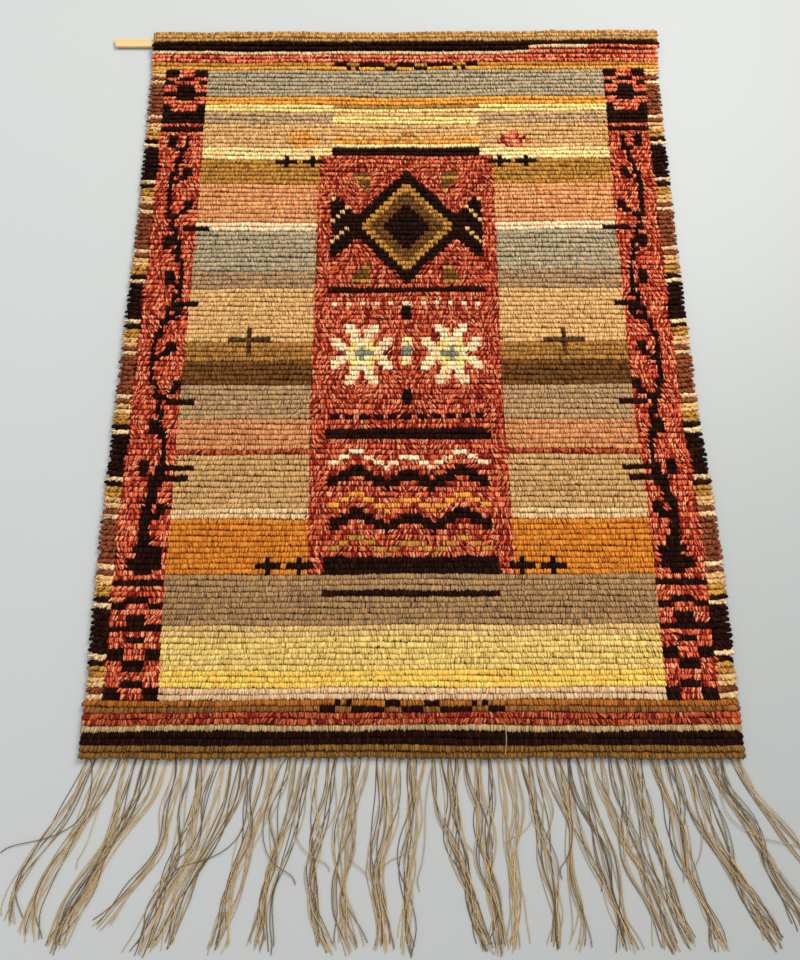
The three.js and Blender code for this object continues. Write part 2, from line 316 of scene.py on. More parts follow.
def smooth(low, high, x):
    share = np.clip((x - low) / (high - low), 0, 1)
    return share * share * (3 - 2 * share)


def left_edge(y):
    return np.interp(-y, -SIDE_EDGES[:, 0], SIDE_EDGES[:, 1])


def right_edge(y):
    return np.interp(-y, -SIDE_EDGES[:, 0], SIDE_EDGES[:, 2])


def lump(x, y):
    """The slab's slow rise and fall."""
    return 0.0012 * (np.sin(x / 0.061 + y / 0.143) * 0.5 + np.sin(x / 0.037 - y / 0.088 + 2) * 0.3
                     + np.sin(x / 0.151 + y / 0.052 + 4) * 0.4)


def sleeve_rise(y):
    below = HALF - SLEEVE_EDGE_GAP - SLAT_WIDTH
    return SLEEVE_RISE * smooth(below - SLEEVE_FADE, below, y)


def knot_chart():
    """The wool of each knot, as an index into NAMES: one line for each knot row."""
    chart = np.zeros((ROWS, COLUMNS), int)

    def fill(rows, columns, wool):
        chart[slice(*rows), slice(*columns)] = NAMES.index(wool)

    def bands(start, table):
        for wool, count in table:
            fill((start, start + count), (0, COLUMNS), wool)
            start += count

    def stamp(row, column, lines, mirror=True):
        for r, line in enumerate(lines):
            for c, letter in enumerate(line):
                if letter in INK:
                    wool = NAMES.index(INK[letter])
                    chart[row + r, column + c] = wool
                    if mirror:
                        chart[row + r, COLUMNS - 1 - column - c] = wool

    bands(0, TOP_BANDS)
    bands(FIELD_TOP, FIELD_BANDS)
    bands(FIELD_END, END_BANDS)
    # Towards the right the black band thins and the red one widens
    fill((3, 4), BLACK_THINS, "warm_cream")
    fill((3, 4), (BLACK_THINS[1], COLUMNS), "red")
    fill((4, 5), (BLACK_THINS[0], COLUMNS), "red")

    cycle = [wool for wool, count in OUTER_BANDS for _ in range(count)]
    for row in range(FIELD_TOP, FIELD_END):
        for columns in OUTER_SPANS:
            fill((row, row + 1), columns, cycle[(row - OUTER_START) % len(cycle)])

    # Side borders: a stepped head and foot, and a winding stem with twigs in between
    for columns in BORDER_SPANS:
        fill((FIELD_TOP, FIELD_END), columns, "deep_red")
    stamp(FIELD_TOP, OUTER_COLUMNS, BORDER_HEAD)
    stamp(STEM_ROWS[1], OUTER_COLUMNS, BORDER_FOOT)
    winding_stem(stamp)

    # Centre: stripes above the panel, the panel itself and the bars over and below it
    for start, end, wool in HEAD_STRIPES:
        fill((start, end), BAR_COLUMNS, wool)
    fill(PANEL_ROWS, PANEL_COLUMNS, "panel_red")
    for rows in BARS:
        fill(rows, BAR_COLUMNS, "black")
    lozenge(stamp)
    chevrons(stamp)
    for motif in MOTIFS:
        stamp(*motif)
    return chart


def winding_stem(stamp):
    """A dark stem that winds down each side border, with a twig and a leaf every few rows."""
    before = None
    for row in range(*STEM_ROWS):
        thick = 1 + sum(row > start for start in STEM_THICKENS)
        swing = STEM_SWING * (1 - float(smooth(*STEM_STEADIES, row)))
        lean = swing * math.sin((row - STEM_START) / STEM_WAVE)
        column = round(STEM_COLUMN + lean - thick / 2)
        first, last = sorted((column if before is None else before, column))
        stamp(row, first, ["k" * (last - first + thick)])
        before = column
        if (row - TWIG_START) % TWIG_EVERY == 0:
            step = -1 if lean > 0 else 1
            for n in range(1, TWIG_REACH + 1):
                stamp(row - n // 2, min(max(column + step * n, OUTER_COLUMNS), BORDER_COLUMNS - 1), ["k"])
            leaf = min(max(column + step * TWIG_REACH, OUTER_COLUMNS), BORDER_COLUMNS - 2)
            stamp(row - TWIG_REACH, leaf, ["kk", "kk"])


def lozenge(stamp):
    """A stepped lozenge with a rounded half lozenge at each side and small marks in the corners."""
    left = BAR_COLUMNS[0]
    for row in range(*LOZENGE_ROWS):
        off_row = abs(row - LOZENGE_MIDDLE)
        for column in range(left, COLUMNS // 2):
            aside = (COLUMNS - 1) / 2 - column
            from_left = column - left
            inside = LOZENGE_HALF - off_row - aside * LOZENGE_SLOPE
            corner = off_row - (13.2 - from_left * 1.25)
            if inside > 0:
                dark = inside > LOZENGE_CORE or inside < LOZENGE_LINE
                stamp(row, column, ["k" if dark else "g" if inside < LOZENGE_RING else "b"])
            elif from_left < 8 and (16.5 - aside) ** 2 < 30 and off_row < 7.5 - from_left * 0.9:
                stamp(row, column, ["k" if (column + row) % 5 else "t"])
            elif from_left < 9 and corner > 4.5:
                stamp(row, column, ["b" if row % 3 else "g"])


def chevrons(stamp):
    left = BAR_COLUMNS[0]
    for column in range(left + 1, COLUMNS // 2):
        wave = abs((column - left) % CHEVRON_COLUMNS - CHEVRON_COLUMNS // 2)
        for start, letter, thick in CHEVRONS:
            stamp(start + wave // 2, column, [letter] * thick)


# One lock in unit sizes: the points of its spine as (y, z), how its flat lower side compares with its upper
# one, and each ring's place on the spine, half width and depth.
LOCK_SPINE = [(0.04, -0.08), (-0.10, 0.72), (-0.70, 0.97), (-1.0, 0.78)]
LOCK_BELLY = 0.6
LOCK_RINGS = [(1, 0.5, 0.15), (2, 0.5, 0.13)]
# How far along the lock each of its points lies, root to tip.
LOCK_HEIGHTS = [0.0, 0.38, 0.38, 0.38, 0.75, 0.75, 0.75, 1.0]
LOCK_TIP = len(LOCK_HEIGHTS) - 1


def lock_mesh():
    """One lock of pile in unit sizes: it rises from its root and bends over towards -Y."""
    points = [(0, *LOCK_SPINE[0])]
    for k, half, deep in LOCK_RINGS:
        before, here, after = (Vector(LOCK_SPINE[n]) for n in (k - 1, k, k + 1))
        run = (after - before).normalized()
        out = Vector((run.y, -run.x))
        out = out if out.y > 0 else -out
        top = here + out * deep
        low = here - out * deep * LOCK_BELLY
        points += [(-half, low.x, low.y), (half, low.x, low.y), (0, top.x, top.y)]
    points.append((0, *LOCK_SPINE[3]))
    faces = []
    for n in range(3):
        m = (n + 1) % 3
        faces.append((0, 1 + m, 1 + n))
        faces.append((1 + n, 1 + m, 4 + m, 4 + n))
        faces.append((4 + n, 4 + m, LOCK_TIP))
    mesh = bpy.data.meshes.new("lock")
    mesh.from_pydata(points, [], faces)
    fibre = mesh.uv_layers.new(name="fibre")
    for index, face in enumerate(mesh.polygons):
        side = index // 3
        for corner in face.loop_indices:
            vertex = mesh.loops[corner].vertex_index
            first = vertex in (1 + side, 4 + side)
            across = side + (0.5 if vertex in (0, LOCK_TIP) else 0.0 if first else 1.0)
            fibre.data[corner].uv = (across / 3, LOCK_HEIGHTS[vertex])
    face_out(mesh)
    return mesh


def face_out(mesh):
    """Turns a closed mesh's faces outwards."""
    shell = bmesh.new()
    shell.from_mesh(mesh)
    bmesh.ops.recalc_face_normals(shell, faces=shell.faces)
    shell.to_mesh(mesh)
    shell.free()
    for face in mesh.polygons:
        face.use_smooth = True


def new_tree(name, inputs, outcome):
    """A Geometry Nodes tree with named inputs: returns its net, and the inputs as wires."""
    tree = bpy.data.node_groups.new(name, "GeometryNodeTree")
    for label, kind in inputs:
        tree.interface.new_socket(label, in_out="INPUT", socket_type="NodeSocket" + kind)
    tree.interface.new_socket(outcome, in_out="OUTPUT", socket_type="NodeSocketGeometry")
    net = Net(tree)
    source = net.node("NodeGroupInput").socket.node.outputs
    return net, {socket.name: Wire(net, socket) for socket in source if socket.name}


def end_tree(net, shape, material):
    """Makes the shape one real mesh with its material, as the tree's outcome."""
    joined = net.node("GeometryNodeRealizeInstances", None, {0: shape})
    dressed = net.node("GeometryNodeSetMaterial", None, {"Geometry": joined, "Material": material})
    net.node("NodeGroupOutput", None, {0: dressed})
    return net.tree


def scatter_tree():
    """Puts a lock on every point, with turns and sizes from the point."""
    net, given = new_tree("knotted_pile", [
        ("Points", "Geometry"), ("Lock", "Object"), ("Lock width", "Float"), ("Lock reach", "Float"),
        ("Lock height", "Float"), ("Wool", "Material"),
    ], "Pile")
    lock = net.node("GeometryNodeObjectInfo", None, {"Object": given["Lock"]}, "Geometry")
    turn = net.node("GeometryNodeInputNamedAttribute", {"data_type": "FLOAT_VECTOR"}, {"Name": "turn"})
    share = net.node("GeometryNodeInputNamedAttribute", {"data_type": "FLOAT_VECTOR"}, {"Name": "size"})
    sizes = net.node("ShaderNodeCombineXYZ", None,
                     {0: given["Lock width"], 1: given["Lock reach"], 2: given["Lock height"]})
    scale = net.node("ShaderNodeVectorMath", {"operation": "MULTIPLY"}, {0: share, 1: sizes})
    rotation = net.node("FunctionNodeEulerToRotation", None, {0: turn})
    placed = net.node("GeometryNodeInstanceOnPoints", None,
                      {"Points": given["Points"], "Instance": lock, "Rotation": rotation, "Scale": scale})
    return end_tree(net, placed, given["Wool"])


def grown(name, tree, source, **inputs):
    """Runs a tree on a source mesh or curve and returns the outcome as a plain mesh object."""
    holder = bpy.data.objects.new(name + "_source", source)
    bpy.context.scene.collection.objects.link(holder)
    modifier = holder.modifiers.new("made", "NODES")
    modifier.node_group = tree
    for item in tree.interface.items_tree:
        key = item.name.lower().replace(" ", "_")
        if item.in_out == "INPUT" and key in inputs:
            modifier[item.identifier] = inputs[key]
    holder.update_tag()
    depsgraph = bpy.context.evaluated_depsgraph_get()
    mesh = bpy.data.meshes.new_from_object(holder.evaluated_get(depsgraph), preserve_all_data_layers=True,
                                           depsgraph=depsgraph)
    bpy.data.objects.remove(holder)
    mesh.name = name
    return shown(name, mesh)


def shown(name, mesh):
    piece = bpy.data.objects.new(name, mesh)
    bpy.context.scene.collection.objects.link(piece)
    return piece


CHART = knot_chart()
LOCKS_IN_KNOT = 4
LOCK_WIDTH = 0.0056
LOCK_REACH = 0.0145
LOCK_HEIGHT = 0.0126
LOCK_CORNERS = 30
YARNS_ROUND_LOCK = 4
# Where a knot sits in its row's pitch, how far locks stray across and along the rug, how much lower every
# other lock lies, and how far the locks that bend over the top edge stand back.
ROW_SEAT = 0.16
STRAY_ACROSS = 0.00022
STRAY_ALONG = 0.0004
OTHER_DROP = 0.0004
OVER_TOP_BACK = 0.0026
# How far the pile stands in from the side edges: in the end bands, and in the field at the left and right.
SIDE_INSET = 0.004
FIELD_INSETS = (0.011, 0.009)
# The outer blocks are knotted a little closer: place by count, and place across the rug.
OUTER_SQUEEZE = np.array([
    (0, OUTER_COLUMNS, BORDER_COLUMNS, COLUMNS - BORDER_COLUMNS, COLUMNS - OUTER_COLUMNS, COLUMNS),
    (0, 2.7, 12.9, COLUMNS - 12.9, COLUMNS - 2.93, COLUMNS),
]) / COLUMNS
# Rows are beaten unevenly: knot row, and how far it lies towards the slat end at the left, in the middle and
# at the right, in millimetres. The side values hold from SHIFT_REACH outwards.
ROW_SHIFTS = np.array([
    (0, 0, 0, 0), (5, -1, -1, -3), (14, -2, -3.5, -3.5), (28, -1, -3.5, -2), (38, -1, -1.5, 0),
    (48, -3.5, -2, 0), (56, -5, -2, -1.5), (66, -3, -1.5, -1.5), (76, 1, 2, 3), (96, 2, 2, 3),
    (104, -1, -1, 0), (118, -3, -1.5, -3), (131, -1, 0, 1), (138, 5, 5, 4), (145, 4.5, 4, 0.5),
    (150, 0, -0.5, -4),
])
SHIFT_REACH = 0.45
UPPER_RIGHT_RISE = 0.007
# Red wools are spun loosely, so their locks turn every way.
LOOSE_WOOLS = ("red", "deep_red", "panel_red", "end_red")
# How much locks differ, as standard deviations: shares of a size or tone, and turns in radians.
SPREAD = {
    "width": 0.07, "reach": 0.08, "height": 0.03, "knot tone": 0.03, "row tone": 0.03, "lock tone": 0.1,
    "turn": 0.04, "loose turn": 0.2, "edge turn": 0.3, "over top turn": 0.25, "nod": 0.04, "roll": 0.06,
}
# Outermost locks lean out over the side edge, less for each knot further in, and less in the end bands.
EDGE_LEAN = 0.98
EDGE_LEAN_STEP = 0.17
END_LEAN_SHARE = 0.35
LEAN_FROM_ROW = 2
# Lock sizes that differ: wider in the top row and at the sides, shorter at the right side and over the top
# edge, lower along the outline.
TOP_ROW_WIDTH = 1.9
LEFT_WIDTH = 1.25
RIGHT_WIDTH = 1.6
RIGHT_REACH = 0.9
OVER_TOP_REACH = 0.7
OUTLINE_HEIGHT = 0.82


def lock_roots(rng, row, column, part, in_field):
    """Where each lock leaves the ground, as x and y."""
    y = HALF - ROW_PITCH * (row + ROW_SEAT)
    left = left_edge(y) + np.where(in_field, FIELD_INSETS[0], SIDE_INSET)
    right = right_edge(y) - np.where(in_field, FIELD_INSETS[1], SIDE_INSET)
    share = np.interp((column + (part + 0.5) / LOCKS_IN_KNOT) / COLUMNS, *OUTER_SQUEEZE)
    x = left + (right - left) * share + rng.normal(0, STRAY_ACROSS, row.size)
    # Upper right rows lie a little higher, and every row wavers slightly
    y += UPPER_RIGHT_RISE * smooth(0, SHIFT_REACH, x) * smooth(0, HALF, y)
    y += 0.0012 * np.sin(x / 0.08 + row * 0.7) + 0.0008 * np.sin(x / 0.027 + row * 2.1)
    y += rng.normal(0, STRAY_ALONG, row.size) - OTHER_DROP * (part % 2)
    at_left, at_middle, at_right = (np.interp(row, ROW_SHIFTS[:, 0], shifts) / 1000
                                    for shifts in ROW_SHIFTS[:, 1:].T)
    across = np.clip(x / SHIFT_REACH, -1, 1)
    y += at_middle + np.where(across < 0, (at_middle - at_left) * across, (at_right - at_middle) * across)
    return x, y


def lock_colours(rng, kind, row, column):
    """Each lock is one of its wool's yarns, with a tone by knot, by row and of its own."""
    colour = np.zeros((kind.size, 3))
    pick = rng.random(kind.size)
    for n, name in enumerate(NAMES):
        yarns = WOOLS[name]
        steps = np.cumsum([share for _, share in yarns]) / sum(share for _, share in yarns)
        here = kind == n
        which = np.minimum(np.searchsorted(steps, pick[here]), len(yarns) - 1)
        colour[here] = linear([yarn for yarn, _ in yarns])[which]
    knot_tone = rng.normal(1, SPREAD["knot tone"], (ROWS, COLUMNS))[row, column]
    row_tone = rng.normal(1, SPREAD["row tone"], ROWS)[row]
    lock_tone = rng.normal(1, SPREAD["lock tone"], kind.size)
    colour *= (knot_tone * row_tone * lock_tone)[:, None]
    return np.clip(colour, 0.002, 1.0)


def lay_locks():
    """Every lock of the pile as arrays: its knot, root, turn, sizes and colour."""
    rng = np.random.default_rng(11)
    row, column, part = (a.ravel() for a in np.meshgrid(
        np.arange(ROWS), np.arange(COLUMNS), np.arange(LOCKS_IN_KNOT), indexing="ij"))
    count = row.size
    kind = CHART[row, column]
    in_field = (row >= FIELD_TOP) & (row < FIELD_END)
    aside = np.minimum(column, COLUMNS - 1 - column)
    outer_left = (column < OUTER_COLUMNS) & (row >= LEAN_FROM_ROW)
    outer_right = (column >= COLUMNS - OUTER_COLUMNS) & (row >= LEAN_FROM_ROW)
    over_top = (row == 0) & (part % 2 == 0)
    x, y = lock_roots(rng, row, column, part, in_field)

    turn = rng.normal(0, SPREAD["turn"], count)
    turn = turn + 0.14 * np.sin(x / 0.045 + y / 0.07) + 0.05 * np.sin(x / 0.013)
    wander = 0.34 * np.sin(x / 0.031 + y / 0.023) + 0.3 * np.sin(x / 0.017 - y / 0.04 + 1.7)
    loose = np.isin(kind, [NAMES.index(name) for name in LOOSE_WOOLS])
    turn = np.where(loose, rng.normal(0, SPREAD["loose turn"], count) + wander, turn)
    outwards = EDGE_LEAN - EDGE_LEAN_STEP * aside + rng.normal(0, SPREAD["edge turn"], count)
    outwards = np.where(in_field, outwards, outwards * END_LEAN_SHARE)
    turn = np.where(outer_left, -outwards, np.where(outer_right, outwards, turn))
    turn = np.where(over_top, math.pi + rng.normal(0, SPREAD["over top turn"], count), turn)
    y = np.where(over_top, y - OVER_TOP_BACK, y)

    wide, reach, tall = (rng.normal(1.0, SPREAD[key], count) for key in ("width", "reach", "height"))
    wide = np.where(row == 0, wide * TOP_ROW_WIDTH, wide)
    wide = np.where(outer_left, wide * LEFT_WIDTH, np.where(outer_right, wide * RIGHT_WIDTH, wide))
    reach = np.where(outer_right & (row < FIELD_END), reach * RIGHT_REACH, reach)
    reach = np.where(over_top, reach * OVER_TOP_REACH, reach)
    tall = np.where((aside == 0) | (row == ROWS - 1), tall * OUTLINE_HEIGHT, tall)
    z = GROUND + sleeve_rise(y) + lump(x, y) * 0.8

    colour = lock_colours(rng, kind, row, column)
    nod, roll = (rng.normal(0, SPREAD[key], count) for key in ("nod", "roll"))
    return {
        "row": row, "column": column, "place": np.stack([x, y, z], 1),
        "turn": np.stack([nod, roll, turn], 1), "size": np.stack([wide, reach, tall], 1), "colour": colour,
    }


def paint(mesh, name, domain, colours):
    """Stores a colour for each point or corner."""
    values = np.concatenate([colours, np.ones((len(colours), 1))], 1)
    mesh.attributes.new(name, "FLOAT_COLOR", domain).data.foreach_set("color", values.ravel())


def give_cells(mesh, flat, index, margin):
    """A second UV map in which every repeated shape has a square cell of its own."""
    side = math.ceil(math.sqrt(index.max() + 1))
    cell = np.stack([index % side, index // side], 1)
    inner = margin + (1 - 2 * margin) * flat
    mesh.uv_layers.new(name="OFBake").data.foreach_set("uv", ((cell + inner) / side).ravel())


def pile_piece(name, locks, rows, column_spans, tree, lock, wool):
    """One area of the pile as a mesh of its own."""
    columns = locks["column"]
    inside = (locks["row"] >= rows[0]) & (locks["row"] < rows[1])
    inside &= np.any([(columns >= a) & (columns < b) for a, b in column_spans], axis=0)
    source = bpy.data.meshes.new(name + "_points")
    source.vertices.add(int(inside.sum()))
    source.vertices.foreach_set("co", locks["place"][inside].ravel())
    for key in ("turn", "size"):
        source.attributes.new(key, "FLOAT_VECTOR", "POINT").data.foreach_set(
            "vector", locks[key][inside].ravel())
    paint(source, "wool", "POINT", locks["colour"][inside])
    piece = grown(name, tree, source, lock=lock, lock_width=LOCK_WIDTH, lock_reach=LOCK_REACH,
                  lock_height=LOCK_HEIGHT, wool=wool)
    mesh = piece.data
    for key in ("turn", "size"):
        if key in mesh.attributes:
            mesh.attributes.remove(mesh.attributes[key])
    flat = np.zeros(len(mesh.loops) * 2)
    mesh.uv_layers["fibre"].data.foreach_get("uv", flat)
    give_cells(mesh, flat.reshape(-1, 2), np.arange(len(mesh.loops)) // LOCK_CORNERS, margin=0.14)
    return piece


def wool_finish():
    """Dyed wool: the yarn's own colour with painted shade towards the root, painted light along each lock's
    top ridge and painted shade on its flanks and underside, faint painted shade between its yarns, and fine
    fibres along it.
    """
    look = Finish("wool")
    across, up, _ = look.along("fibre").parts()
    yarn = look.colour_of("wool")
    fibres = look.noise(look.stretch(look.place(), (900, 900, 220)), scale=1, detail=3, rough=0.6)
    tufts = look.noise(look.place(), scale=520, detail=2, rough=0.7)
    # Faint darker lines between the yarns round a lock: painted shade in the grooves, also used as bump.
    ends = (across * (2 * math.pi * YARNS_ROUND_LOCK)).sine()
    # Darker towards the root: painted shade where the locks crowd together.
    root_shade = 0.84 + 0.2 * (up * 1.6).clip()
    # Lighter along each lock's top ridge, darker on its flanks and much darker on its underside: painted
    # light and painted shade.
    crest_light = 1 - (across * 3 - 2).size()
    tone = root_shade * (0.5 + 0.1 * fibres + 0.9 * tufts + 0.06 * ends) * (0.64 + 0.5 * crest_light)
    return look.close(
        Base_Color=look.dim(yarn, tone), Roughness=0.9 + fibres * 0.08, Specular_IOR_Level=0.02,
        Sheen_Weight=0.02, Sheen_Roughness=0.5,
        Normal=look.bump(ends * 0.5 + fibres, strength=0.5, distance=0.0006))


WARP_PITCH = 0.0042
WEFT_PITCH = 0.0031


def backing_finish():
    """Plain weave in the colours that the knots above it give, with painted shade in the weave's hollows."""
    look = Finish("woven_ground")
    x, y, _ = look.place().parts()
    yarn = look.colour_of("wool")
    warp = (x * (2 * math.pi / WARP_PITCH)).sine()
    weft = (y * (2 * math.pi / WEFT_PITCH)).sine()
    weave = (warp * weft) * 0.5 + 0.5
    fibres = look.noise(look.place(), scale=900, detail=3, rough=0.6)
    # The weave's hollows are painted darker: painted shade. The fibre noise is the yarn's own uneven tone.
    return look.close(
        Base_Color=look.dim(yarn, 0.7 + 0.3 * weave + 0.2 * (fibres - 0.5)), Roughness=0.95,
        Specular_IOR_Level=0.15, Normal=look.bump(weave + fibres * 0.4, strength=0.6, distance=0.0008))


TWISTS_ON_THREAD = 210


def linen_finish():
    """Linen warp ends: two plies twisted together with painted shade in the grooves between them, a little
    uneven in tone.
    """
    look = Finish("linen_thread")
    across, along, _ = look.along("fibre").parts()
    tint = look.colour_of("tint")
    ply = (across * (4 * math.pi) + along * (2 * math.pi * TWISTS_ON_THREAD)).sine()
    slub = look.noise(look.stretch(look.place(), (60, 60, 60)), scale=1, detail=3, rough=0.6)
    # The grooves between the plies are painted darker: painted shade; the slubs are the thread's own uneven
    # tone.
    tone = 0.78 + 0.16 * ply + 0.3 * (slub - 0.5)
    return look.close(
        Base_Color=look.dim(tint, tone), Roughness=0.72, Specular_IOR_Level=0.3, Sheen_Weight=0.1,
        Normal=look.bump(ply * 0.5 + slub * 0.3, strength=0.7, distance=0.0004))


PINE_PALE = (243, 210, 150)
PINE_DARK = (210, 160, 98)
# A dark joint line runs along the slat, at this y.
JOINT_PLACE = 0.899


def pine_finish():
    """Planed pine with its grain along the slat."""
    look = Finish("pine")
    grain = look.noise(look.stretch(look.place(), (1.6, 60, 60)), scale=2.2, detail=5, rough=0.55)
    _, y, _ = look.place().parts()
    fine = look.noise(look.stretch(look.place(), (12, 900, 900)), scale=1, detail=2, rough=0.5)
    rings = ((y * 900 + grain * 9).sine() * 0.5 + 0.5) ** 2
    wood = look.mix(rings * 0.5, rgba(PINE_PALE), rgba(PINE_DARK))
    joint = 1 - ((y - JOINT_PLACE).size() * 1600).clip()
    tone = 0.9 + 0.2 * fine - 0.3 * joint
    return look.close(
        Base_Color=look.dim(wood, tone), Roughness=0.52 + 0.1 * grain, Specular_IOR_Level=0.4,
        Normal=look.bump(fine * 0.4 + rings * 0.6, strength=0.25, distance=0.0004))


FLOOR_GREY = (195, 196, 193)


def floor_finish():
    """A pale matt floor with painted light that makes it a little brighter to the left."""
    look = Finish("pale_floor")
    cloud = look.noise(look.place(), scale=1.3, detail=5, rough=0.6)
    fine = look.noise(look.place(), scale=120, detail=3, rough=0.6)
    x, _, _ = look.place().parts()
    # Brighter towards the left: painted light on the floor. The cloud and fine noise are its own mottling.
    tone = (0.99 + 0.06 * cloud + 0.03 * (fine - 0.5)) * (1 - 0.16 * x).clip(0.8, 1.2)
    return look.close(
        Base_Color=look.dim(tuple(linear(FLOOR_GREY)), tone), Roughness=0.42 + 0.12 * cloud,
        Specular_IOR_Level=0.35, Normal=look.bump(fine * 0.5 + cloud, strength=0.08, distance=0.002))


BACKING_THICK = 0.0018
BACKING_CELLS = 61
BACKING_INSET = 0.005
BACKING_LOWEST = 0.0002
FLAX = (176, 146, 104)
# The top edge is turned round in steps of these degrees, and the hem comes back under the slat.
EDGE_TURNS = (15, 45, 75, 105, 135, 165)
EDGE_INSET = 0.004
EDGE_ROUND = 0.0036
HEM_HEIGHT = 0.0013
HEM_LINES = (0.906, 0.896, 0.886, 0.877)


def backing_path():
    """The woven ground from the fringe end, over the slat, round the top edge and back under it."""
    middle_height = GROUND - BACKING_THICK / 2
    steps = [(-HALF, middle_height)]
    for row in range(ROWS - 1, 0, -1):
        y = HALF - row * ROW_PITCH
        steps.append((y, middle_height + float(sleeve_rise(y)) * 1.02))
    top = steps[-1][1]
    middle = (top + HEM_HEIGHT) / 2
    for turn in EDGE_TURNS:
        angle = math.radians(turn)
        y = HALF - EDGE_INSET + EDGE_ROUND * math.sin(angle)
        steps.append((y, middle + (top - middle) * math.cos(angle)))
    steps += [(y, HEM_HEIGHT) for y in HEM_LINES]
    return np.array(steps)


def backing():
    """Woven ground: a closed thin sheet whose colours follow the knots, with painted shade on its upper side.
    """
    path = backing_path()
    run = np.gradient(path, axis=0)
    run /= np.linalg.norm(run, axis=1)[:, None]
    out = np.stack([-run[:, 1], run[:, 0]], 1)
    lines = len(path)
    width = BACKING_CELLS + 1
    across = np.linspace(0, 1, width)
    points, faces, tints = [], [], []
    for side in (1, -1):
        for (y, z), (out_y, out_z) in zip(path, out):
            y = y + side * out_y * BACKING_THICK / 2
            z = max(z + side * out_z * BACKING_THICK / 2, BACKING_LOWEST)
            low, high = left_edge(y) + BACKING_INSET, right_edge(y) - BACKING_INSET
            points += [(low + (high - low) * a, y, z) for a in across]

    def index(side, line, column):
        return side * lines * width + line * width + column

    flax = linear(FLAX)
    for side in (0, 1):
        for line in range(lines - 1):
            row = min(max(int((HALF - path[line, 0]) / ROW_PITCH - 0.5), 0), ROWS - 1)
            for column in range(BACKING_CELLS):
                quad = [index(side, line, column), index(side, line, column + 1),
                        index(side, line + 1, column + 1), index(side, line + 1, column)]
                faces.append(quad if side == 0 else quad[::-1])
                wool = linear(WOOLS[NAMES[CHART[row, column * 2]]][0][0])
                # The upper side takes its knot's wool darkened to 0.8, painted shade under the locks; the
                # under side mixes wool with flax.
                tints.append(wool * 0.8 if side == 0 else wool * 0.45 + flax * 0.5)
    rim = [index(0, 0, column) for column in range(width)]
    rim += [index(0, line, width - 1) for line in range(1, lines)]
    rim += [index(0, lines - 1, column) for column in range(width - 2, -1, -1)]
    rim += [index(0, line, 0) for line in range(lines - 2, 0, -1)]
    below = lines * width
    for n, here in enumerate(rim):
        after = rim[(n + 1) % len(rim)]
        faces.append((after, here, here + below, after + below))
        tints.append(flax * 0.7)
    mesh = bpy.data.meshes.new("backing")
    mesh.from_pydata(points, [], faces)
    paint(mesh, "wool", "CORNER", np.repeat(np.array(tints), 4, axis=0))
    face_out(mesh)
    return shown("backing", mesh)


# Gathered bundles of the fringe, left to right, in millimetres: strands, where the bundle's middle is at a
# third of its drop, at two thirds and at its end, how far apart its strands lie there, its share of the drop.
BUNDLES = [
    (4, -735, -792, -778, 3.4, 0.84), (6, -690, -752, -742, 3.4, 0.91), (12, -600, -672, -700, 3.4, 0.96),
    (4, -488, -536, -617, 3.6, 0.86), (8, -458, -492, -530, 3.4, 0.98), (8, -406, -448, -486, 3.4, 0.97),
    (8, -332, -362, -384, 3.8, 0.98), (8, -282, -284, -303, 3.4, 0.97), (6, -204, -214, -166, 3.2, 0.98),
    (8, -142, -152, -126, 3.2, 0.97), (7, -76, -66, -60, 3.4, 0.98), (7, -14, -22, -22, 3.4, 0.98),
    (8, 80, 104, 141, 3.0, 0.98), (8, 146, 152, 169, 3.0, 0.98), (6, 216, 204, 194, 3.0, 0.97),
    (6, 272, 282, 276, 3.6, 0.97), (4, 324, 334, 319, 3.6, 0.97), (8, 372, 404, 416, 3.6, 0.98),
    (8, 428, 466, 503, 3.4, 0.98), (6, 474, 500, 534, 3.4, 0.96), (6, 542, 567, 598, 3.4, 0.98),
    (8, 612, 664, 706, 3.6, 0.96), (6, 676, 728, 762, 3.8, 0.9), (4, 748, 796, 800, 3.8, 0.78),
]
FRINGE_DEPTH = 0.366
THREADS_IN_GROUP = 4
STRANDS_IN_GROUP = 2
THREAD_RADIUS = 0.00086
THREAD_STEPS = 24
THREAD_SIDES = 4
STRAYS = 18
# How far the first and last threads stand in from the rug's corners, and the gap to its edge.
ROOT_INSET = 0.006
ROOT_GAP = 0.0006
THREAD_BASE = THREAD_RADIUS + 0.0002
# Threads of a bundle cross it by one of these shares of their place in it, with these odds.
CROSSINGS = [-1.1, -0.4, 0.4, 1.0]
CROSSING_ODDS = [0.3, 0.2, 0.25, 0.25]
FULL_TURN = 6.3
# In metres: how far a group wavers, how far apart its threads stand at the root, half way and at the end, how
# far each thread wavers, hooks at its end and rises over the others.
GROUP_WAVER = 0.011
APART_AT_ROOT = 0.0016
APART_HALF_WAY = 0.0052
APART_AT_END = 0.01
THREAD_WAVER = 0.004
END_HOOK = 0.008
THREAD_LIFT = 0.0016
# Stray threads: least and most bow, swing, and share of the fringe's depth.
STRAY_BOW = (0.014, 0.034)
STRAY_SWING = (0.0, 0.1)
STRAY_DROP = (0.6, 0.92)
PALE_LINEN = (255, 217, 154)
LINEN_IN_SHADE = (110, 79, 43)


def waver(rng, t, slow, fast):
    """A sine along a thread, with a pace and a start of its own."""
    return np.sin(t * rng.uniform(slow, fast) + rng.uniform(0, FULL_TURN))


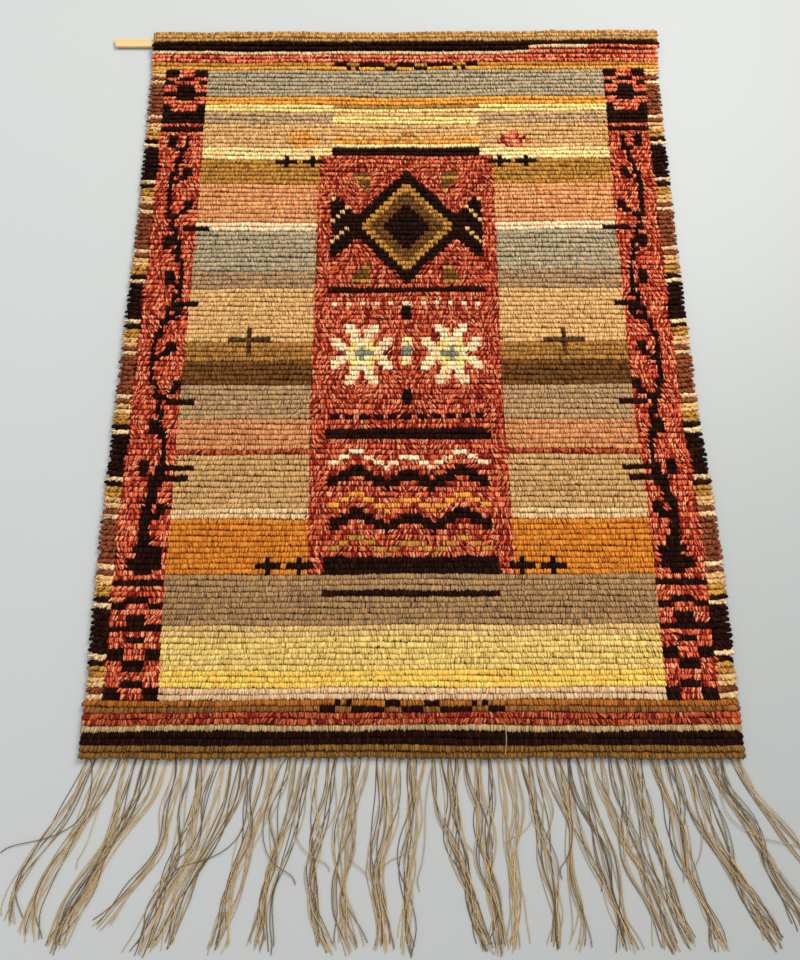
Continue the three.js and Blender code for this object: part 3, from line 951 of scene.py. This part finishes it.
def group_lines(rng, t, left, right):
    """Threads that leave the rug in groups, which gather in bundles."""
    u = 1 - t
    weights = (u ** 4, 4 * u ** 3 * t, 6 * u * u * t * t, 4 * u * t ** 3, t ** 4)
    owners = [(row, n) for row in BUNDLES for n in range(row[0])]
    groups = len(owners) // STRANDS_IN_GROUP
    lines = []
    for group in range(groups):
        (count, upper, lower, end, step, drop), n = owners[group * STRANDS_IN_GROUP]
        place = (n + 0.5 - (count - 1) / 2) * step
        upper, lower, end, place = (v / 1000 for v in (upper, lower, end, place))
        root = left + (right - left) * (group + 0.5) / groups + rng.normal(0, 0.0012)
        drift = place * rng.choice(CROSSINGS, p=CROSSING_ODDS)
        stations = (root, root * 0.72 + (upper + place) * 0.28, upper + place * 1.2, lower + drift,
                    end + drift * 1.4 + rng.normal(0, 0.004))
        middle = sum(w * s for w, s in zip(weights, stations))
        middle = middle + GROUP_WAVER * np.sin(math.pi * t) * waver(rng, t, 4, 11)
        length = FRINGE_DEPTH * drop * rng.uniform(0.97, 1.02)
        twist = rng.uniform(3, 9)
        start = rng.uniform(0, FULL_TURN)
        for k in range(THREADS_IN_GROUP):
            angle = start + k * 2 * math.pi / THREADS_IN_GROUP
            apart = APART_AT_ROOT + APART_HALF_WAY * np.sin(math.pi * t ** 0.6) ** 2 * rng.uniform(0.3, 1.6)
            apart = apart + APART_AT_END * t ** 4 * rng.uniform(0.2, 1.4)
            wave = THREAD_WAVER * waver(rng, t, 5, 13) * smooth(0, 0.4, t)
            hook = rng.normal(0, END_HOOK) * smooth(0.7, 1, t) ** 2
            x = middle + apart * np.cos(angle + twist * t) + wave + hook + 0.0008 * t * np.sin(t * 31 + angle)
            y = -HALF - ROOT_GAP - t * length * rng.uniform(0.95, 1.0)
            y = y + 0.0035 * t * np.sin(t * 8 + angle)
            lift = 0.5 + 0.5 * np.sin(angle + twist * t + 1.6)
            z = THREAD_BASE + THREAD_LIFT * lift * smooth(0, 0.1, t) + 0.0008 * (group % 2) * t * u * 4
            lines.append(np.stack([x, y, z], 1))
    return lines


def stray_lines(rng, t, left, right):
    """Single threads that bow out and swing across the bundles."""
    lines = []
    for stray in range(STRAYS):
        root = left + (right - left) * (stray + rng.uniform(0.1, 0.9)) / STRAYS
        bow = rng.choice([-1, 1]) * rng.uniform(*STRAY_BOW)
        swing = rng.choice([-1, 1]) * rng.uniform(*STRAY_SWING) * smooth(0.4, 1, t)
        x = root * (1 + 0.1 * t) + bow * np.sin(math.pi * t ** 0.8) + swing
        y = -HALF - ROOT_GAP - t * FRINGE_DEPTH * rng.uniform(*STRAY_DROP) * (1 - 0.25 * smooth(0.5, 1, t))
        z = THREAD_BASE + 0.0026 * smooth(0, 0.15, t) * (1 - 0.6 * smooth(0.8, 1, t))
        lines.append(np.stack([x, y, z], 1))
    return lines


def fringe_lines():
    """The middle line of every linen thread."""
    rng = np.random.default_rng(5)
    left, right = left_edge(-HALF) + ROOT_INSET, right_edge(-HALF) - ROOT_INSET
    t = np.linspace(0, 1, THREAD_STEPS + 1)
    lines = group_lines(rng, t, left, right) + stray_lines(rng, t, left, right)
    # One loose end lies over the end bands
    x = 0.188 + 0.006 * np.sin(t * 2.4) - 0.004 * t
    y = -HALF + 0.004 + 0.062 * t
    z = 0.0168 + 0.0004 * np.sin(t * 5)
    lines.append(np.stack([x, y, z], 1))
    return lines


def thread_tree():
    """Turns lines into closed tubes."""
    net, given = new_tree("linen_threads", [
        ("Lines", "Geometry"), ("Thread radius", "Float"), ("Thread sides", "Int"), ("Linen", "Material"),
    ], "Threads")
    ring = net.node("GeometryNodeCurvePrimitiveCircle", None,
                    {"Resolution": given["Thread sides"], "Radius": given["Thread radius"]})
    tube = net.node("GeometryNodeCurveToMesh", None,
                    {"Curve": given["Lines"], "Profile Curve": ring, "Fill Caps": True})
    return end_tree(net, tube, given["Linen"])


def threads(name, lines, tree, linen, seed):
    """Linen threads along their lines, as one mesh, with a map along each thread."""
    curve = bpy.data.curves.new(name + "_lines", "CURVE")
    curve.dimensions = "3D"
    for line in lines:
        spline = curve.splines.new("POLY")
        spline.points.add(len(line) - 1)
        spline.points.foreach_set("co", np.concatenate([line, np.ones((len(line), 1))], 1).ravel())
    piece = grown(name, tree, curve, thread_radius=THREAD_RADIUS, thread_sides=THREAD_SIDES, linen=linen)
    mesh = piece.data
    each = (THREAD_STEPS + 1) * THREAD_SIDES
    corner = np.zeros(len(mesh.loops), int)
    mesh.loops.foreach_get("vertex_index", corner)
    around = corner % THREAD_SIDES
    up = corner % each // THREAD_SIDES
    across = around.astype(float)
    for face in mesh.polygons:
        part = slice(face.loop_start, face.loop_start + face.loop_total)
        # The face that closes the ring ends at the map's right edge, not at its left one
        if face.loop_total == 4 and around[part].max() == THREAD_SIDES - 1 and around[part].min() == 0:
            across[part] = np.where(around[part] == 0, THREAD_SIDES, around[part])
        face.use_smooth = True
    flat = np.stack([across / THREAD_SIDES, up / THREAD_STEPS], 1)
    while mesh.uv_layers:
        mesh.uv_layers.remove(mesh.uv_layers[0])
    mesh.uv_layers.new(name="fibre").data.foreach_set("uv", flat.ravel())
    give_cells(mesh, flat, corner // each, margin=0.06)
    rng = np.random.default_rng(seed)
    # About a third of the threads are mostly the shaded linen tint: painted shade among the threads.
    share = rng.uniform(0.6, 1, len(lines)) * (1 - 0.85 * (rng.random(len(lines)) < 0.34))
    tint = linear(PALE_LINEN) * share[:, None] + linear(LINEN_IN_SHADE) * (1 - share[:, None])
    paint(mesh, "tint", "POINT", tint[np.arange(len(mesh.vertices)) // each])
    return piece


# Camera: where the photograph was taken from, over the fringe end and looking down at the rug.
CAMERA_PLACE = (-0.0341, -0.7537, 1.5819)
CAMERA_PITCH, CAMERA_YAW, CAMERA_ROLL = (math.radians(v) for v in (15.129, -1.313, 1.118))
CAMERA_LENS = 27.04
SENSOR = 36.0


def set_camera():
    data = bpy.data.cameras.new("camera")
    data.lens = CAMERA_LENS
    data.sensor_width = SENSOR
    data.clip_start = 0.01
    camera = bpy.data.objects.new("camera", data)
    turn = (Matrix.Rotation(CAMERA_YAW, 4, "Z") @ Matrix.Rotation(CAMERA_PITCH, 4, "X")
            @ Matrix.Rotation(CAMERA_ROLL, 4, "Z"))
    camera.matrix_world = Matrix.Translation(CAMERA_PLACE) @ turn
    bpy.context.scene.collection.objects.link(camera)
    bpy.context.scene.camera = camera


FLOOR_HALF = 6.0
FLOOR_CELLS = 8
FLOOR_HEIGHT = -0.0002


def set_floor():
    steps = np.linspace(-FLOOR_HALF, FLOOR_HALF, FLOOR_CELLS + 1)
    points = [(x, y, FLOOR_HEIGHT) for y in steps for x in steps]
    width = FLOOR_CELLS + 1
    faces = [(j * width + i, j * width + i + 1, (j + 1) * width + i + 1, (j + 1) * width + i)
             for j in range(FLOOR_CELLS) for i in range(FLOOR_CELLS)]
    mesh = bpy.data.meshes.new("floor")
    mesh.from_pydata(points, [], faces)
    mesh.materials.append(floor_finish())
    shown("floor", mesh)


def lamp(name, place, aim, wide, deep, power, colour):
    data = bpy.data.lights.new(name, "AREA")
    data.shape = "RECTANGLE"
    data.size = wide
    data.size_y = deep
    data.energy = power
    data.color = colour
    lit = bpy.data.objects.new(name, data)
    look = (Vector(aim) - Vector(place)).to_track_quat("-Z", "Y")
    lit.matrix_world = Matrix.Translation(place) @ look.to_matrix().to_4x4()
    bpy.context.scene.collection.objects.link(lit)


SKY_COLOUR = (0.93, 0.97, 1.0, 1.0)
SKY_STRENGTH = 0.56


def set_light():
    """Soft sky light, a window at the upper right and a weak fill from above."""
    world = bpy.data.worlds.new("studio")
    world.use_nodes = True
    sky = world.node_tree.nodes["Background"]
    sky.inputs["Color"].default_value = SKY_COLOUR
    sky.inputs["Strength"].default_value = SKY_STRENGTH
    bpy.context.scene.world = world
    lamp("window", place=(2.1, 2.5, 3.3), aim=(0.2, 0.2, 0.0), wide=2.6, deep=2.0, power=178,
         colour=(1.0, 0.99, 0.97))
    lamp("fill", place=(-0.8, 0.3, 3.0), aim=(-0.2, 0.0, 0.0), wide=2.4, deep=2.4, power=12,
         colour=(0.99, 0.99, 1.0))


set_camera()
set_floor()
set_light()

wool = wool_finish()
lock = bpy.data.objects.new("lock", lock_mesh())
locks = lay_locks()
pile_tree = scatter_tree()
field = (FIELD_TOP, FIELD_END)
PILE_PIECES = [
    ("pile_top_bands", (0, FIELD_TOP), [(0, COLUMNS)]),
    ("pile_end_bands", (FIELD_END, ROWS), [(0, COLUMNS)]),
    ("pile_outer_blocks", field, OUTER_SPANS),
    ("pile_side_borders", field, BORDER_SPANS),
    ("pile_field_left", field, [(BORDER_COLUMNS, PANEL_COLUMNS[0])]),
    ("pile_field_right", field, [(PANEL_COLUMNS[1], COLUMNS - BORDER_COLUMNS)]),
    ("pile_panel", (CENTRE_HEAD_END, CENTRE_FOOT_START), [PANEL_COLUMNS]),
    ("pile_centre_head", (FIELD_TOP, CENTRE_HEAD_END), [PANEL_COLUMNS]),
    ("pile_centre_foot", (CENTRE_FOOT_START, FIELD_END), [PANEL_COLUMNS]),
]
pile = [pile_piece(name, locks, rows, spans, pile_tree, lock, wool) for name, rows, spans in PILE_PIECES]
ground = backing()
ground.data.materials.append(backing_finish())
fringe = threads("fringe_threads", fringe_lines(), thread_tree(), linen_finish(), seed=3)

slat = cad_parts["slat"]
slat.data.materials.clear()
slat.data.materials.append(pine_finish())

for piece in pile:
    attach(piece, "root")
    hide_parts("rug_pile")
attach(ground, "root")
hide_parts("rug_pile")
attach(fringe, "root")
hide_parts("fringe")

bpy.data.objects.remove(lock)
bpy.context.scene.view_settings.view_transform = "Standard"
bpy.context.view_layer.update()
